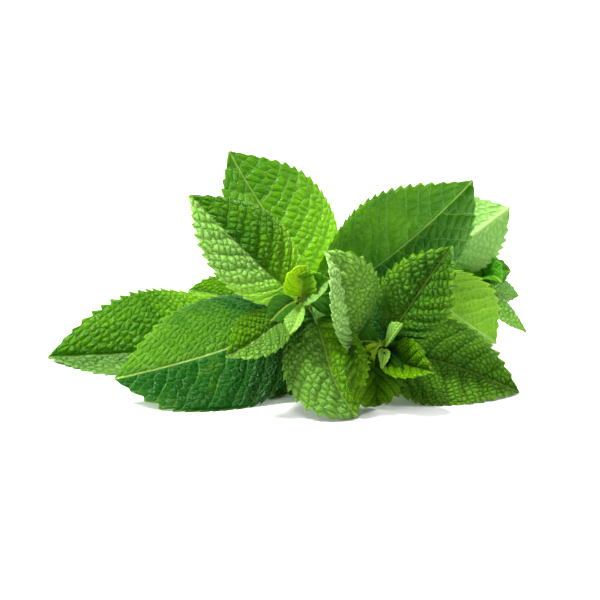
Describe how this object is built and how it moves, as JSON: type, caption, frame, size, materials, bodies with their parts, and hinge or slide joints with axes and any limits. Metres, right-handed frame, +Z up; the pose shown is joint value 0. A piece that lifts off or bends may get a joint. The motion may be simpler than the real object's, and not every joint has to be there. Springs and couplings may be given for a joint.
{
  "type": "spearmint sprig",
  "caption": "Cut sprig of spearmint lying on a surface, its leafy top turned up: square stem, leafy side shoots, toothed leaves in crossed pairs and tufts of young leaves.",
  "frame": {"origin": "on the table, under the middle of the sprig's footprint", "axes": "+Z up, +X to the right across the spread leaves, the cut stem's end towards +Y and the growing tip towards -Y"},
  "size_m": [0.168, 0.1295, 0.0724],
  "materials": {
    "leaf": "satin, quilted between the veins",
    "young_leaf": "satin, soft and finely hairy",
    "stem": "satin, square and ribbed"
  },
  "bodies": {
    "root": {"leaf_axil_left": "leaf", "leaf_axil_right": "leaf", "leaf_back_hanging": "leaf", "leaf_back_rising": "leaf", "leaf_behind_left": "leaf", "leaf_down_front": "leaf", "leaf_far_left": "leaf", "leaf_high_right": "leaf", "leaf_low_left": "leaf", "leaf_low_right": "leaf", "leaf_middle_right": "leaf", "leaf_small_left": "leaf", "leaf_small_right": "leaf", "leaf_top_back": "leaf", "leaf_under": "leaf", "leaf_under_front": "leaf", "leaf_up_left": "leaf", "leaf_upright": "leaf", "stem_back": "stem", "stem_front": "stem", "stem_left": "stem", "stem_main": "stem", "tuft_back": "young_leaf", "tuft_front": "young_leaf", "tuft_left": "young_leaf", "tuft_main": "young_leaf"}
  },
  "joints": []
}
